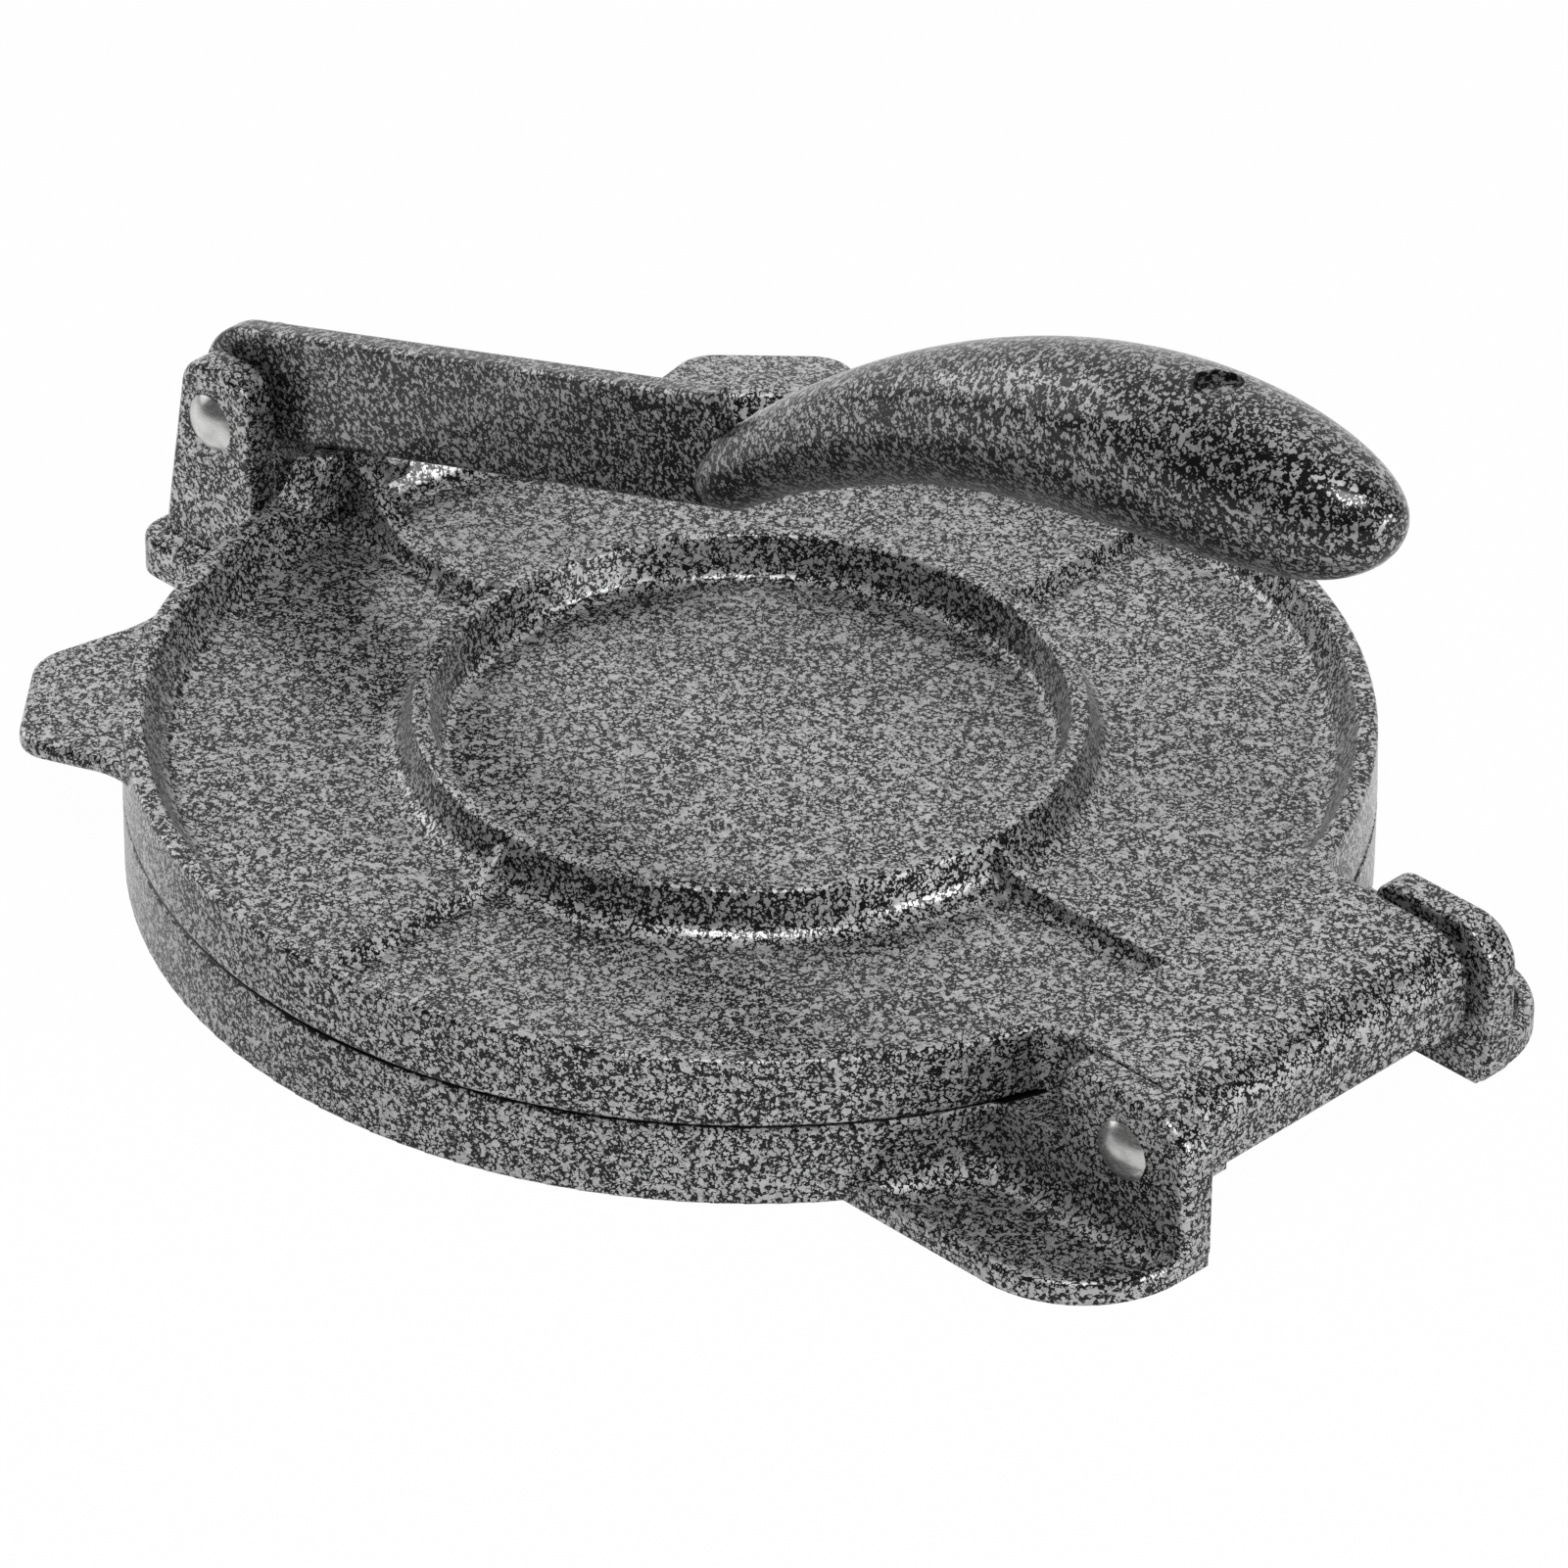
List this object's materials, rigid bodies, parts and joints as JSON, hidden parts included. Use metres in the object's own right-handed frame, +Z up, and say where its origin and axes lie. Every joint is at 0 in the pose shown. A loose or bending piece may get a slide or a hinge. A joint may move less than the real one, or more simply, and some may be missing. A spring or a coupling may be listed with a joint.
{
  "type": "tortilla press",
  "caption": "Cast tortilla press: hinged round plates in grey hammertone paint, with a pivoting lever that presses them together.",
  "frame": {"origin": "on the table plane, under the middle of the whole press's footprint; the plates' axis is 0.9 mm behind it, towards the lever's clevis", "axes": "+Z up, +X from the lever's clevis towards the plate hinge, +Y to the left when looking along +X"},
  "size_m": [0.3392, 0.255, 0.1639],
  "materials": {
    "hammertone_paint": "silver-grey hammertone paint, light flakes with dark veins, glossy",
    "polished_pin": "polished domed steel"
  },
  "bodies": {
    "base": {"lower_plate": "hammertone_paint", "hinge_pin_near": "polished_pin", "hinge_pin_far": "polished_pin", "lever_pin": "polished_pin"},
    "top_plate": {"upper_plate": "hammertone_paint"},
    "press_lever": {"lever": "hammertone_paint"}
  },
  "joints": [
    {"name": "lever_pivot", "type": "hinge", "parent": "base", "child": "press_lever", "pos_m": [-0.14882, 0, 0.0421], "axis": [0, -1, 0], "range_deg": [0, 160]},
    {"name": "plate_hinge", "type": "hinge", "parent": "base", "child": "top_plate", "pos_m": [0.14928, 0, 0.0228], "axis": [0, 1, 0], "range_deg": [0, 105]}
  ],
  "couplings": [
    {"joint": "plate_hinge", "follows": "lever_pivot", "ratio": 0.08}
  ]
}
